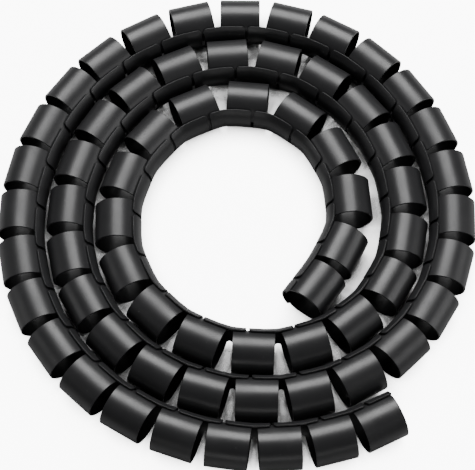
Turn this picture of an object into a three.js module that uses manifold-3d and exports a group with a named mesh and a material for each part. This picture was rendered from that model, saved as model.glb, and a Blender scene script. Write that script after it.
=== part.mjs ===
// Spiral cable wrap: one length of split plastic tube, laid down in a flat coil of about three turns.
// Slots across the tube leave a row of rings that hang on one uncut spine. The rings' free ends come
// round and tuck in behind a row of short lips that stand on the spine. Cables go in under the lips.
// Units are millimetres, +Z is up, and the coil lies on the plane z = 0, centred on the z axis.
import * as THREE from 'three';
import { mergeVertices } from 'three/addons/utils/BufferGeometryUtils.js';
import Module from 'manifold-3d';

// The tube's section
const OUTER_DIAMETER = 23.7;
const WALL = 0.9;
const TUCK_GAP = 0.35;          // between a lip and the ring's end tucked in behind it

// Angles round the section, in degrees: 0 faces the middle of the coil and 90 faces up
const LIP_EDGE = 47;            // the lips' free edge
const TUCK_END = 3;             // the rings' free end, behind the lips
const NOTCH_ROOT = -19;         // where the notches between the lips stop, at the spine
const SPINE_MIDDLE = -31;       // the line of the spine that neither stretches nor shortens
const SLOT_ROOT = -45;          // where the slots between the rings stop, at the spine
const FOOT_MIDDLE = -90;        // the flat facet that each ring lies on
const FOOT_HALF_ANGLE = 14;
const RING_FACETS = 7;          // from the foot round to where the ring slips in under the lip

// Along the tube
const RING_COUNT = 65;
const PITCH = 23.3;             // from one slot to the next, along the spine
const SLOT_WIDTH = 2.3;         // at the spine
const STRAIGHT_PAST_RING = 0.4; // the spine stays straight this far past a ring's edge
const NOTCH_WIDTH = 1.5;
const NOTCH_PLACE = 8.4;        // from a slot's middle to the middle of the next notch
const LIP_CORNER_LENGTH = 1.8;  // the cut-off corners of the lips, along the tube
const LIP_CORNER_RISE = 1.8;    // the same corners, across the lip

// How the coil lies: the tube's middle line is a spiral, not quite round, with its inner end curled in
// and its outer end sprung out. Angles are in degrees, anticlockwise from +X.
const START_ANGLE = -40;        // of the spiral; the first ring runs straight on from it, inwards
const START_RADIUS = 54.6;
const TURN_GAP = 0.8;           // between one turn and the next
const OVAL = 2.1;               // the radius swells by this much twice round, first at OVAL_ANGLE
const OVAL_ANGLE = 104;
const THREE_SIDED = 0.9;        // and by this much three times round
const THREE_SIDED_ANGLE = -30;
const CURL = 5.2;               // the inner end lies this much nearer the middle
const CURL_TURNS = 0.59;
const FIRST_BEND = 10;          // degrees, between the first ring and the second
const SPRING = 1.5;             // the outer end lies this much further out
const SPRING_START = 2.82;      // in turns from the inner end
const SPRING_TURNS = 0.15;
const SIMPLIFY_TOLERANCE = 0.001;

const RADIUS = OUTER_DIAMETER / 2;
const TUCK_RADIUS = RADIUS - WALL - TUCK_GAP;
const DEGREE = Math.PI / 180;
const FULL_TURN = 360;
const UP = new THREE.Vector3(0, 0, 1);
const TURN_SPACING = OUTER_DIAMETER + TURN_GAP;
const SPINE_OFFSET = RADIUS * Math.cos(SPINE_MIDDLE * DEGREE);
const AXIS_HEIGHT = RADIUS * Math.cos(FOOT_HALF_ANGLE * DEGREE);

const wasm = await Module();
wasm.setup();

// A point of the spine: the coil's middle line, moved in towards the coil's centre
function spinePoint(angle) {
  const turns = (angle - START_ANGLE) / FULL_TURN;
  const oval = OVAL * Math.cos(2 * (angle - OVAL_ANGLE) * DEGREE);
  const threeSided = THREE_SIDED * Math.cos(3 * (angle - THREE_SIDED_ANGLE) * DEGREE);
  const curl = CURL * Math.max(0, 1 - turns / CURL_TURNS) ** 2;
  const spring = SPRING * Math.max(0, (turns - SPRING_START) / SPRING_TURNS) ** 2;
  const middleLine = START_RADIUS + TURN_SPACING * turns + oval + threeSided - curl + spring;
  const radius = middleLine - SPINE_OFFSET;
  return new THREE.Vector3(radius * Math.cos(angle * DEGREE), radius * Math.sin(angle * DEGREE), 0);
}

// Joints on the spine, one pitch apart in a straight line: the spine bends there and nowhere else.
// The first comes last: it lies a pitch back from the spiral's start, on the first ring's own line.
function layJoints() {
  const found = [spinePoint(START_ANGLE)];
  let angle = START_ANGLE;
  while (found.length < RING_COUNT) {
    const from = found.at(-1);
    let near = angle;
    let far = angle + FULL_TURN / 6;
    for (let halving = 0; halving < 50; halving += 1) {
      const middle = (near + far) / 2;
      if (spinePoint(middle).distanceTo(from) < PITCH) {
        near = middle;
      } else {
        far = middle;
      }
    }
    angle = near;
    found.push(spinePoint(angle));
  }
  const backwards = found[0].clone().sub(found[1]).applyAxisAngle(UP, -FIRST_BEND * DEGREE);
  return [found[0].clone().add(backwards), ...found];
}

const joints = layJoints();
const ringNumbers = Array.from({ length: RING_COUNT }, (_, i) => i);

// A place on the tube's middle line, measured along from the joint before ring i
function station(i, along) {
  const tangent = joints[i + 1].clone().sub(joints[i]).normalize();
  const outward = new THREE.Vector3().crossVectors(tangent, UP);
  const point = joints[i].clone().addScaledVector(tangent, along).addScaledVector(outward, SPINE_OFFSET);
  point.z = AXIS_HEIGHT;
  return { point, tangent };
}

// A path through stations, with a step of the extrusion square to each
class StationPath extends THREE.Curve {
  constructor(stations) {
    super();
    this.stations = stations;
  }

  stationAt(u) {
    return this.stations[Math.round(u * (this.stations.length - 1))];
  }

  getPointAt(u, target = new THREE.Vector3()) {
    return target.copy(this.stationAt(u).point);
  }

  getTangentAt(u, target = new THREE.Vector3()) {
    return target.copy(this.stationAt(u).tangent);
  }
}

// Along such a level path an extrusion takes the section's x as down, and its y as towards the coil's centre
function sectionPoint(angle, radius) {
  return new THREE.Vector2(-radius * Math.sin(angle * DEGREE), radius * Math.cos(angle * DEGREE));
}

function anglesBetween(from, to, facets) {
  return Array.from({ length: facets + 1 }, (_, k) => from + ((to - from) * k) / facets);
}

// The section's corners. It starts at the lip's edge, goes down the lip and the spine, and then once
// round as the ring, to the free end behind the lip, where it has the lip's own corners a turn later.
const lipAngles = [LIP_EDGE, (LIP_EDGE + TUCK_END) / 2, TUCK_END, NOTCH_ROOT];
const tuckAngles = lipAngles.slice(0, 3).map((angle) => angle - FULL_TURN);
const FOOT_START = FOOT_MIDDLE + FOOT_HALF_ANGLE;
const FOOT_END = FOOT_MIDDLE - FOOT_HALF_ANGLE;
const openAngles = [FOOT_START, ...anglesBetween(FOOT_END, tuckAngles[0], RING_FACETS).slice(0, -1)];
const wallAngles = [...lipAngles, SLOT_ROOT, ...openAngles, ...tuckAngles];

// The wall's outer radius: full on the lip, spine and foot, then winding in to pass behind the lip
function outerRadius(angle) {
  const share = THREE.MathUtils.clamp((FOOT_END - angle) / (FOOT_END - tuckAngles[0]), 0, 1);
  return THREE.MathUtils.lerp(RADIUS, TUCK_RADIUS, share);
}

function innerRadius(angle) {
  return outerRadius(angle) - WALL;
}

// A closed outline that goes out along the angles on one radius and comes back on another
function bandShape(angles, outer, inner) {
  const outside = angles.map((angle) => sectionPoint(angle, outer(angle)));
  const inside = angles.map((angle) => sectionPoint(angle, inner(angle)));
  return new THREE.Shape([...outside, ...inside.reverse()]);
}

function sweep(shape, stations) {
  const extrudePath = new StationPath(stations);
  return new THREE.ExtrudeGeometry(shape, { steps: stations.length - 1, extrudePath });
}

function toSolid(geometry) {
  const bare = geometry.clone();
  bare.deleteAttribute('normal');
  bare.deleteAttribute('uv');
  const merged = mergeVertices(bare, 1e-5);
  return new wasm.Manifold(new wasm.Mesh({
    numProp: 3,
    vertProperties: new Float32Array(merged.attributes.position.array),
    triVerts: new Uint32Array(merged.index.array),
  }));
}

function toGeometry(solid) {
  const mesh = solid.getMesh();
  const geometry = new THREE.BufferGeometry();
  geometry.setAttribute('position', new THREE.BufferAttribute(mesh.vertProperties, 3));
  geometry.setIndex(new THREE.BufferAttribute(mesh.triVerts, 1));
  geometry.computeVertexNormals();
  return geometry;
}

// The tube before it is cut: straight along each ring, and bent between one ring and the next
function uncutTube() {
  const bendStart = SLOT_WIDTH / 2 - STRAIGHT_PAST_RING;
  const stations = [];
  for (let i = 0; i < RING_COUNT; i += 1) {
    const isLast = i === RING_COUNT - 1;
    stations.push(station(i, i === 0 ? 0 : bendStart));
    stations.push(station(i, isLast ? PITCH - SLOT_WIDTH / 2 : PITCH - bendStart));
  }
  return toSolid(sweep(bandShape(wallAngles, outerRadius, innerRadius), stations));
}

// What a cut reaches past the wall, in open air
const OVERCUT = 1;
const OVERCUT_ANGLE = 4;

// A slot takes the whole ring out of the wall and leaves the spine and the lip. Behind the lip its
// outline runs in the middle of the gap, and past the ring's free end it turns in, away from the lip.
function slotShape() {
  const lipClear = tuckAngles[0] + OVERCUT_ANGLE;
  const openPart = [SLOT_ROOT, ...openAngles, lipClear];
  const endClear = tuckAngles[2] - 2 * OVERCUT_ANGLE;
  const outside = [
    ...openPart.map((angle) => sectionPoint(angle, outerRadius(angle) + OVERCUT)),
    ...[lipClear, ...tuckAngles].map((angle) => sectionPoint(angle, TUCK_RADIUS + TUCK_GAP / 2)),
    sectionPoint(endClear, TUCK_RADIUS - TUCK_GAP),
  ];
  const inside = [...openPart, ...tuckAngles, endClear].map(
    (angle) => sectionPoint(angle, innerRadius(angle) - OVERCUT),
  );
  return new THREE.Shape([...outside, ...inside.reverse()]);
}

function slotCutters() {
  const shape = slotShape();
  const cutters = [sweep(shape, [station(0, -OVERCUT), station(0, SLOT_WIDTH / 2)])];
  for (let i = 1; i < RING_COUNT; i += 1) {
    const slotStart = station(i - 1, PITCH - SLOT_WIDTH / 2);
    cutters.push(sweep(shape, [slotStart, station(i, SLOT_WIDTH / 2)]));
  }
  return cutters;
}

// A notch parts two lips, down to the spine
function notchCutters() {
  const notchAngles = [LIP_EDGE + OVERCUT_ANGLE, ...lipAngles];
  const shape = bandShape(notchAngles, () => RADIUS + OVERCUT, () => RADIUS - WALL - TUCK_GAP / 2);
  return ringNumbers.map((i) => sweep(shape, [
    station(i, NOTCH_PLACE - NOTCH_WIDTH / 2),
    station(i, NOTCH_PLACE + NOTCH_WIDTH / 2),
  ]));
}

// Over each notch the lips' corners are cut off. The outline lies on the lips' top facet, with x along
// the tube and y down from the edge, and is extruded out through the lip.
function cornerCutters() {
  const topFacet = ((LIP_EDGE + lipAngles[1]) / 2) * DEGREE;
  const slope = LIP_CORNER_LENGTH / LIP_CORNER_RISE;
  const halfTop = NOTCH_WIDTH / 2 + LIP_CORNER_LENGTH + slope * OVERCUT;
  const shape = new THREE.Shape([
    new THREE.Vector2(-halfTop, -OVERCUT),
    new THREE.Vector2(halfTop, -OVERCUT),
    new THREE.Vector2(NOTCH_WIDTH / 2, LIP_CORNER_RISE),
    new THREE.Vector2(-NOTCH_WIDTH / 2, LIP_CORNER_RISE),
  ]);
  const depthBehind = WALL + TUCK_GAP / 2;
  return ringNumbers.map((i) => {
    const { point, tangent } = station(i, NOTCH_PLACE);
    const inward = new THREE.Vector3().crossVectors(UP, tangent);
    const onSection = (angle) => inward.clone().multiplyScalar(Math.cos(angle)).addScaledVector(UP, Math.sin(angle));
    const outOfLip = onSection(topFacet);
    const downLip = new THREE.Vector3().crossVectors(outOfLip, tangent);
    const origin = point.clone()
      .addScaledVector(onSection(LIP_EDGE * DEGREE), RADIUS)
      .addScaledVector(outOfLip, -depthBehind);
    const cutter = new THREE.ExtrudeGeometry(shape, { depth: depthBehind + OVERCUT, bevelEnabled: false });
    return cutter.applyMatrix4(new THREE.Matrix4().makeBasis(tangent, downLip, outOfLip).setPosition(origin));
  });
}

function wrapSolid() {
  const cutters = [...slotCutters(), ...notchCutters(), ...cornerCutters()].map(toSolid);
  // The cuts leave spare points along straight edges, and simplify takes them out
  return uncutTube().subtract(wasm.Manifold.union(cutters)).asOriginal().simplify(SIMPLIFY_TOLERANCE);
}

const blackPlastic = new THREE.MeshStandardMaterial({ color: 0x1b1b1c, roughness: 0.42, metalness: 0 });

const wrap = new THREE.Mesh(toGeometry(wrapSolid()), blackPlastic);
wrap.name = 'cable_wrap';
wrap.geometry.computeBoundingBox();
const coilMiddle = wrap.geometry.boundingBox.getCenter(new THREE.Vector3());
wrap.position.set(-coilMiddle.x, -coilMiddle.y, 0);

const part = new THREE.Group();
part.add(wrap);

export default part;
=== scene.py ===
"""Spiral cable wrap: one length of slotted black plastic tube, lying in a flat coil.

The tube is one sheet bent round. A place on the sheet has two parameters: `along`, millimetres along
the spine, and `around`, degrees round the section, where 0 faces the middle of the coil and 90 faces
up. The sheet starts at the lips' free edge, goes down the lips and the spine, then once round as the
rings, and its free end tucks in behind the lips. Slots and notches are cells that are left out.
"""

import math

import bpy
import numpy as np
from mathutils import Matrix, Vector


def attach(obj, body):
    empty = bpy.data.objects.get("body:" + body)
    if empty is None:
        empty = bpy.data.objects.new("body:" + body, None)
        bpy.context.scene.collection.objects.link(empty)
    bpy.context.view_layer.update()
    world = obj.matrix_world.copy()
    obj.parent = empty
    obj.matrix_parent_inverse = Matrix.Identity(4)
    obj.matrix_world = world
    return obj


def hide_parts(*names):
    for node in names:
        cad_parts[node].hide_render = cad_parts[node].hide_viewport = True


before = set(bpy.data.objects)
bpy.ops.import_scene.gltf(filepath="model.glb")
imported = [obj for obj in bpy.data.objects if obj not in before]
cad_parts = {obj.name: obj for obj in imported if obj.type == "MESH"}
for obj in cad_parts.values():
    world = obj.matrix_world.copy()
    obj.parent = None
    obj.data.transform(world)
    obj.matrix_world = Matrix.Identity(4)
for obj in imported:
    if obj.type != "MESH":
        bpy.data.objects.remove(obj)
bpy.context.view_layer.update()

# ---- sizes, in millimetres and degrees: the part's own ----
RADIUS = 11.85
WALL = 0.9
TUCK_GAP = 0.35
TUCK_RADIUS = RADIUS - WALL - TUCK_GAP
LIP_EDGE, NOTCH_ROOT, SPINE_MIDDLE, SLOT_ROOT = 47, -19, -31, -45
TUCK_START, TUCK_END = LIP_EDGE - 360, 3 - 360
RING_COUNT, PITCH = 65, 23.3
HALF_SLOT, HALF_NOTCH, NOTCH_PLACE = 1.15, 0.75, 8.4
LIP_CORNER_LENGTH, LIP_CORNER_RISE = 1.8, 1.6
START_ANGLE, START_RADIUS, TURN_SPACING = -40, 54.6, 24.5
OVAL, OVAL_ANGLE = 2.1, 104
THREE_SIDED, THREE_SIDED_ANGLE = 0.9, -30
CURL, CURL_TURNS = 5.2, 0.59
SPRING, SPRING_START, SPRING_TURNS = 1.5, 2.82, 0.15
FIRST_BEND = 10
FOOT_HALF_ANGLE = 14
SPINE_OFFSET = RADIUS * math.cos(math.radians(SPINE_MIDDLE))
AXIS_HEIGHT = RADIUS * math.cos(math.radians(FOOT_HALF_ANGLE))

# ---- sizes of the scene's own detail ----
CLOSING_START = 180 - 360  # from here the ring's radius shrinks towards its tucked end
BEND_EASE = 6.5  # the bends at the joints are rounded over this length on each side
NOTCH_ROOT_RISE, SLOT_ROOT_RISE = 0.7, 1.2  # the rounding at the closed ends of notches and slots
EDGE_ROUNDING = 0.16
SPIRAL_SWEEP, SPIRAL_SAMPLES, SEARCH_SAMPLES = 1180, 60000, 4000  # degrees, and points on the spiral
CORNER_STATIONS = (1, 0.68, 0.32)  # shares of a lip corner's length where a station cuts it
ROOT_STATION, NOTCH_STATION, LIP_STATION = 0.95, 0.42, 16.6  # from a joint, a notch's middle, a joint
LIP_CELLS, SPINE_CELLS, RING_CELLS = 7, 3, 35  # columns of the sheet between its key angles
MM = 0.001


def spine_radius(angle):
    """The spiral: a steady growth per turn, swelling a little twice and three times round, with the
    inner end curled in as a square and the outer end sprung out as a square."""
    turns = (angle - START_ANGLE) / 360
    oval = OVAL * np.cos(np.radians(2 * (angle - OVAL_ANGLE)))
    three_sided = THREE_SIDED * np.cos(np.radians(3 * (angle - THREE_SIDED_ANGLE)))
    curl = CURL * np.clip(1 - turns / CURL_TURNS, 0, None) ** 2
    spring = SPRING * np.clip((turns - SPRING_START) / SPRING_TURNS, 0, None) ** 2
    return START_RADIUS + TURN_SPACING * turns + oval + three_sided - curl + spring - SPINE_OFFSET


def lay_joints():
    """Places on the spine one pitch apart in a straight line: each is where the spiral first gets a
    pitch away from the one before. The first ring runs back from the spiral's start, nearly in line
    with the second."""
    angles = np.linspace(START_ANGLE, START_ANGLE + SPIRAL_SWEEP, SPIRAL_SAMPLES)
    radii = spine_radius(angles)
    line = np.stack([radii * np.cos(np.radians(angles)), radii * np.sin(np.radians(angles))], axis=1)
    found, last = [line[0]], 0
    while len(found) < RING_COUNT:
        reach = np.linalg.norm(line[last : last + SEARCH_SAMPLES] - found[-1], axis=1)
        step = int(np.argmax(reach > PITCH))
        share = (PITCH - reach[step - 1]) / (reach[step] - reach[step - 1])
        found.append(line[last + step - 1] * (1 - share) + line[last + step] * share)
        last += step - 1
    bend = math.radians(-FIRST_BEND)
    turn = np.array([[math.cos(bend), -math.sin(bend)], [math.sin(bend), math.cos(bend)]])
    return np.array([found[0] + turn @ (found[0] - found[1])] + found)


def lay_stations():
    """Stations across the tube, some to every pitch. Returns, for each, its distance along within the
    pitch, its ring, its place on the tube's middle line, the directions along and outward there, and
    how far the spine is pulled in to ease its bend: a parabola that meets both straight runs. A
    station on a joint takes the middle direction of the two rings that meet there."""
    joints = lay_joints()
    chords = np.diff(joints, axis=0)
    chords /= np.linalg.norm(chords, axis=1)[:, None]
    corner = LIP_CORNER_LENGTH * np.array(CORNER_STATIONS)
    before = NOTCH_PLACE - HALF_NOTCH
    after = NOTCH_PLACE + HALF_NOTCH
    steps = np.concatenate([
        [0, ROOT_STATION, HALF_SLOT],
        before - corner,
        [before, NOTCH_PLACE - NOTCH_STATION, NOTCH_PLACE + NOTCH_STATION, after],
        after + corner[::-1],
        [LIP_STATION, PITCH - HALF_SLOT, PITCH - ROOT_STATION],
    ])
    ring = np.repeat(np.arange(RING_COUNT), len(steps))[:-1]
    within = np.tile(steps, RING_COUNT)[:-1]
    at_joint = (within == 0) & (ring > 0)
    tangent = chords[ring] + np.where(at_joint[:, None], chords[ring - 1], 0)
    tangent /= np.linalg.norm(tangent, axis=1)[:, None]
    outward = np.stack([tangent[:, 1], -tangent[:, 0]], axis=1)
    middle = joints[ring] + chords[ring] * within[:, None] + outward * SPINE_OFFSET
    bends = np.arccos(np.clip(np.sum(chords[1:] * chords[:-1], axis=1), -1, 1))
    bends = np.concatenate([[0], bends, [0]])
    to_joint = np.minimum(within, PITCH - within)
    nearest = ring + (within > PITCH / 2)
    ease = bends[nearest] * np.clip(BEND_EASE - to_joint, 0, None) ** 2 / (4 * BEND_EASE)
    return within, ring, middle, tangent, outward, ease


def rounded(distance, length, rise):
    """A rounded corner: the drop of a quarter ellipse, `rise` at distance 0 and nothing from `length`."""
    share = np.clip(1 - distance / length, 0, 1)
    return rise * (1 - np.sqrt(1 - share**2))


def sheet_angles(within):
    """The angles of the sheet's columns at each station. Key angles run along the lips' edge, the
    notches' root, the slots' root and the tucked end; corners and roots are rounded by quarter
    ellipses; columns between two keys share the way evenly."""
    to_notch = np.abs(within - NOTCH_PLACE)
    to_slot = np.minimum(within, PITCH - within)
    degrees = 180 / math.pi / RADIUS
    edge = LIP_EDGE - degrees * rounded(to_notch - HALF_NOTCH, LIP_CORNER_LENGTH, LIP_CORNER_RISE)
    root = NOTCH_ROOT + degrees * rounded(np.abs(to_notch - HALF_NOTCH), HALF_NOTCH, NOTCH_ROOT_RISE)
    slot = SLOT_ROOT - degrees * rounded(np.abs(to_slot - HALF_SLOT), HALF_SLOT, SLOT_ROOT_RISE)
    keys = [edge, root, slot, np.full_like(within, TUCK_END)]
    parts = []
    for upper, lower, cells in zip(keys[:-1], keys[1:], (LIP_CELLS, SPINE_CELLS, RING_CELLS)):
        share = np.arange(cells) / cells
        parts.append(upper[:, None] * (1 - share) + lower[:, None] * share)
    return np.concatenate(parts + [keys[-1][:, None]], axis=1)


def wrap_surface():
    """The outer side of the sheet. Radius: full on the lips, the spine and half the ring, then, from
    the side that faces out of the coil, shrinking smoothly so that the free end passes behind the
    lips. Each ring leans and opens by its own small amount, more the further round from the spine (a
    half cosine), and is flat where it meets the floor."""
    within, ring, middle, tangent, outward, ease = lay_stations()
    around = sheet_angles(within)
    share = np.clip((CLOSING_START - around) / (CLOSING_START - TUCK_START), 0, 1)
    radius = RADIUS + (TUCK_RADIUS - RADIUS) * share**2 * (3 - 2 * share)
    swing = np.where(around < SLOT_ROOT, (1 - np.cos(np.radians(around - SLOT_ROOT))) / 2, 0)
    lean = (0.28 * np.sin(2.4 * ring + 1.1) + 0.2 * np.sin(5.3 * ring))[:, None] * swing
    radius = radius + (0.1 * np.sin(3.7 * ring + 0.4) + 0.06 * np.sin(1.3 * ring))[:, None] * swing
    pulled = ease[:, None] * np.clip(1 - swing * 6, 0, 1)
    c, s = np.cos(np.radians(around)), np.sin(np.radians(around))
    x, y = (
        middle[:, k, None] - outward[:, k, None] * (radius * c + pulled) + tangent[:, k, None] * lean
        for k in (0, 1)
    )
    z = np.maximum(AXIS_HEIGHT + radius * s, 0)
    points = np.stack([x, y, z], axis=-1)
    in_slot = np.minimum(within, PITCH - within) < HALF_SLOT - 0.01
    in_notch = np.abs(within - NOTCH_PLACE) < HALF_NOTCH - 0.01
    return points, around, ring, in_slot, in_notch


def build_wrap():
    """Joins neighbouring places of the sheet into four-sided faces and leaves out the cells of the
    slots and notches, and the places that no face uses. The wall then gets its thickness inwards."""
    points, around, ring, in_slot, in_notch = wrap_surface()
    rows, columns = around.shape
    row, column = np.meshgrid(np.arange(rows - 1), np.arange(columns - 1), indexing="ij")
    cut_slot = (in_slot[:-1] | in_slot[1:])[:, None] & (column >= LIP_CELLS + SPINE_CELLS)
    cut_notch = (in_notch[:-1] | in_notch[1:])[:, None] & (column < LIP_CELLS)
    kept = ~(cut_slot | cut_notch)
    first = (row * columns + column)[kept]
    faces = np.stack([first, first + columns, first + columns + 1, first + 1], axis=1)
    used, faces = np.unique(faces, return_inverse=True)
    places = points.reshape(-1, 3)[used] * MM
    coil_middle = (places[:, :2].min(axis=0) + places[:, :2].max(axis=0)) / 2
    places[:, :2] -= coil_middle
    mesh = bpy.data.meshes.new("cable_wrap_moulding")
    mesh.from_pydata(places.tolist(), [], faces.reshape(-1, 4).tolist())
    own = np.repeat(ring[:, None], columns, axis=1).ravel()[used]
    tone = 0.5 + 0.5 * np.sin(12.9898 * own + 4.1)
    ring_tone = mesh.attributes.new("ring_tone", "FLOAT", "POINT")
    ring_tone.data.foreach_set("value", tone.astype(np.float32))
    mesh.polygons.foreach_set("use_smooth", np.ones(len(mesh.polygons), bool))
    mesh.update()
    wrap = bpy.data.objects.new("cable_wrap_moulding", mesh)
    bpy.context.scene.collection.objects.link(wrap)
    wall = wrap.modifiers.new("wall", "SOLIDIFY")
    wall.thickness = WALL * MM
    wall.offset = -1
    wall.use_even_offset = True
    edges = wrap.modifiers.new("edges", "BEVEL")
    edges.width = EDGE_ROUNDING * MM
    edges.segments = 1
    edges.limit_method = "ANGLE"
    edges.angle_limit = math.radians(50)
    edges.harden_normals = True
    return wrap, coil_middle


def plastic():
    """Black satin plastic: nearly black all over, with clouds and fine scuffs in its gloss, a faint
    moulded grain, a little difference from ring to ring, and a few grains of dust."""
    material = bpy.data.materials.new("wrap_plastic")
    material.use_nodes = True
    nodes, links = material.node_tree.nodes, material.node_tree.links
    shader = nodes["Principled BSDF"]
    shader.inputs["IOR"].default_value = 1.45
    shader.inputs["Specular IOR Level"].default_value = 0.3
    place = nodes.new("ShaderNodeTexCoord")

    def noise(scale, detail, vector=None):
        made = nodes.new("ShaderNodeTexNoise")
        made.inputs["Scale"].default_value = scale
        made.inputs["Detail"].default_value = detail
        links.new(vector or place.outputs["Object"], made.inputs["Vector"])
        return made.outputs["Fac"]

    def spread(value, low, high, start=0.0, end=1.0):
        made = nodes.new("ShaderNodeMapRange")
        for name, number in (("From Min", start), ("From Max", end), ("To Min", low), ("To Max", high)):
            made.inputs[name].default_value = number
        links.new(value, made.inputs["Value"])
        return made.outputs["Result"]

    def add(first, second):
        made = nodes.new("ShaderNodeMath")
        made.operation = "ADD"
        links.new(first, made.inputs[0])
        links.new(second, made.inputs[1])
        return made.outputs["Value"]

    ring_tone = nodes.new("ShaderNodeAttribute")
    ring_tone.attribute_name = "ring_tone"
    scuffs = spread(noise(900, 3), 0, 0.08, 0.56, 0.72)
    gloss = add(spread(noise(70, 4), 0.32, 0.4, 0.3, 0.7), scuffs)
    gloss = add(gloss, spread(ring_tone.outputs["Fac"], -0.02, 0.03))
    links.new(gloss, shader.inputs["Roughness"])
    dust = spread(noise(1600, 2), 0, 1, 0.74, 0.8)
    colour = nodes.new("ShaderNodeMix")
    colour.data_type = "RGBA"
    colour.inputs["A"].default_value = (0.0085, 0.0085, 0.009, 1)
    colour.inputs["B"].default_value = (0.09, 0.09, 0.09, 1)
    links.new(dust, colour.inputs["Factor"])
    links.new(colour.outputs["Result"], shader.inputs["Base Color"])
    grain = nodes.new("ShaderNodeBump")
    grain.inputs["Strength"].default_value = 0.12
    grain.inputs["Distance"].default_value = 0.00002
    links.new(noise(2200, 2), grain.inputs["Height"])
    links.new(grain.outputs["Normal"], shader.inputs["Normal"])
    return material


wrap, coil_middle = build_wrap()
wrap.data.materials.append(plastic())
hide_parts("cable_wrap")
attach(wrap, "root")

# ---- floor, light and camera ----
floor_mesh = bpy.data.meshes.new("floor")
floor_mesh.from_pydata([(-3, -3, 0), (3, -3, 0), (3, 3, 0), (-3, 3, 0)], [], [(0, 1, 2, 3)])
floor = bpy.data.objects.new("floor", floor_mesh)
bpy.context.scene.collection.objects.link(floor)


def floor_glow_and_painted_shade():
    """Plain matt floor that glows for camera rays though it is no lamp. A painted glow makes it nearly
    white in the open, and ambient occlusion dims that glow into painted shade down in narrow gaps. Other
    rays see plain grey, and the plastic reflects that as light grey."""
    paper = bpy.data.materials.new("floor_glow_and_painted_shade")
    paper.use_nodes = True
    nodes, links = paper.node_tree.nodes, paper.node_tree.links
    seen = nodes["Principled BSDF"]
    reflected = nodes.new("ShaderNodeBsdfPrincipled")
    for shader in (seen, reflected):
        shader.inputs["Base Color"].default_value = (0.4, 0.4, 0.4, 1)
        shader.inputs["Roughness"].default_value = 0.9
        shader.inputs["Specular IOR Level"].default_value = 0.1
    # painted shade: ambient occlusion, low down in narrow gaps, dims the floor's glow there
    painted_gap_shade = nodes.new("ShaderNodeAmbientOcclusion")
    painted_gap_shade.inputs["Distance"].default_value = 0.03
    painted_gap_shade.samples = 16
    # painted glow: the floor emits light that only the camera sees, full in the open and none in narrow
    # gaps
    glow = nodes.new("ShaderNodeMapRange")
    glow.inputs["From Min"].default_value = 0.22
    glow.inputs["From Max"].default_value = 0.68
    glow.inputs["To Max"].default_value = 9
    links.new(painted_gap_shade.outputs["AO"], glow.inputs["Value"])
    seen.inputs["Emission Color"].default_value = (1, 1, 1, 1)
    links.new(glow.outputs["Result"], seen.inputs["Emission Strength"])
    rays = nodes.new("ShaderNodeLightPath")
    mix = nodes.new("ShaderNodeMixShader")
    links.new(rays.outputs["Is Camera Ray"], mix.inputs["Fac"])
    links.new(reflected.outputs["BSDF"], mix.inputs[1])
    links.new(seen.outputs["BSDF"], mix.inputs[2])
    links.new(mix.outputs["Shader"], nodes["Material Output"].inputs["Surface"])
    return paper


floor_mesh.materials.append(floor_glow_and_painted_shade())

world = bpy.data.worlds.new("studio")
world.use_nodes = True
world.node_tree.nodes["Background"].inputs["Color"].default_value = (1, 1, 1, 1)
world.node_tree.nodes["Background"].inputs["Strength"].default_value = 0.12
bpy.context.scene.world = world


def softbox(name, place, size, power, aim=(0, 0, 0.01)):
    """A rectangular soft light at `place`, turned to face `aim`."""
    light = bpy.data.lights.new(name, "AREA")
    light.shape = "RECTANGLE"
    light.size, light.size_y = size
    light.energy = power
    lamp = bpy.data.objects.new(name, light)
    lamp.location = place
    lamp.rotation_mode = "QUATERNION"
    lamp.rotation_quaternion = (Vector(aim) - Vector(place)).to_track_quat("-Z", "Y")
    bpy.context.scene.collection.objects.link(lamp)


softbox("back_light", (0, 0.75, 0.95), (0.9, 0.72), 44)
softbox("right_light", (1.2, -0.2, 0.6), (0.9, 0.9), 13)
softbox("left_light", (-1.2, -0.1, 0.45), (0.5, 0.8), 3)
softbox("front_light", (0, -1.3, 0.4), (1.2, 0.4), 4)

# The camera stands over TARGET, and is turned a little so that the coil sits a bit high in the frame
TARGET = Vector((-7.35, -8.08, 12)) * MM - Vector((*coil_middle, 0))
ELEVATION, DISTANCE, LENS = 64.86, 0.9954, 147.7
camera_data = bpy.data.cameras.new("camera")
camera_data.lens = LENS
camera_data.sensor_width = 36
camera = bpy.data.objects.new("camera", camera_data)
tilt = math.radians(ELEVATION)
back = Vector((0, -math.cos(tilt), math.sin(tilt)))
picture_up = Vector((0, math.sin(tilt), math.cos(tilt)))
camera.location = TARGET + back * DISTANCE
aim = TARGET + Vector((1.3, 0, 0)) * MM - picture_up * 3.46 * MM
camera.rotation_mode = "QUATERNION"
camera.rotation_quaternion = (aim - camera.location).to_track_quat("-Z", "Y")
bpy.context.scene.collection.objects.link(camera)
bpy.context.scene.camera = camera
